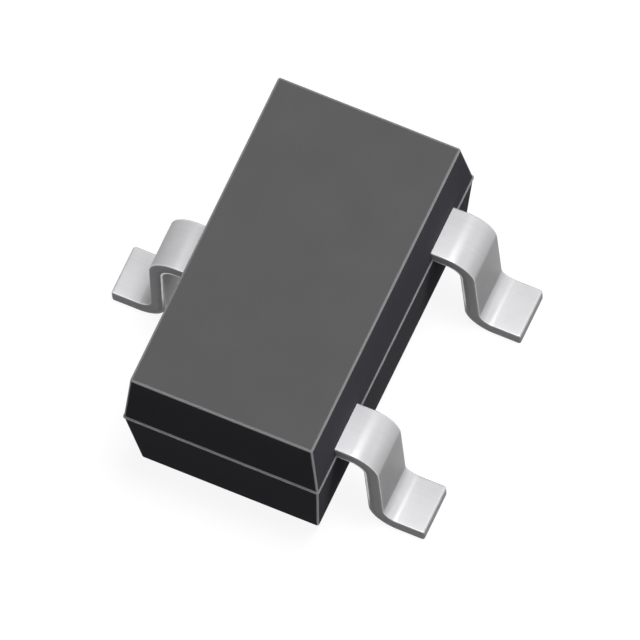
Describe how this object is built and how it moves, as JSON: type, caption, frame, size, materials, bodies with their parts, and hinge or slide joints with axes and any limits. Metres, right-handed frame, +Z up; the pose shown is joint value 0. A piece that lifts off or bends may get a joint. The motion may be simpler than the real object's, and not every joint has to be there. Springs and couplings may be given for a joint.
{
  "type": "n-channel mosfet",
  "caption": "Small moulded n-channel power switch for surface mounting: a drafted black body with bent flat leads that stand it on a circuit board.",
  "frame": {"origin": "centre of the footprint on the seating plane, where the soles of the leads stand", "axes": "+X along the body from the source lead's end to the gate lead's end, +Y to the side with the gate and source leads, +Z up from the board"},
  "size_m": [0.003, 0.0032, 0.0016],
  "materials": {
    "mould_compound": "matte epoxy compound with a fine spark-eroded grain",
    "tinned_lead": "satin tin plating over copper alloy, grey where sheared",
    "silicon": "polished silicon with aluminium bond metal",
    "attach_layer": "silver-filled adhesive",
    "bond_metal": "bright gold wire"
  },
  "bodies": {
    "root": {"mould_body": "mould_compound", "gate_lead": "tinned_lead", "source_lead": "tinned_lead", "drain_lead": "tinned_lead", "die": "silicon", "die_attach": "attach_layer", "gate_wire": "bond_metal", "source_wire_1": "bond_metal", "source_wire_2": "bond_metal"}
  },
  "joints": []
}
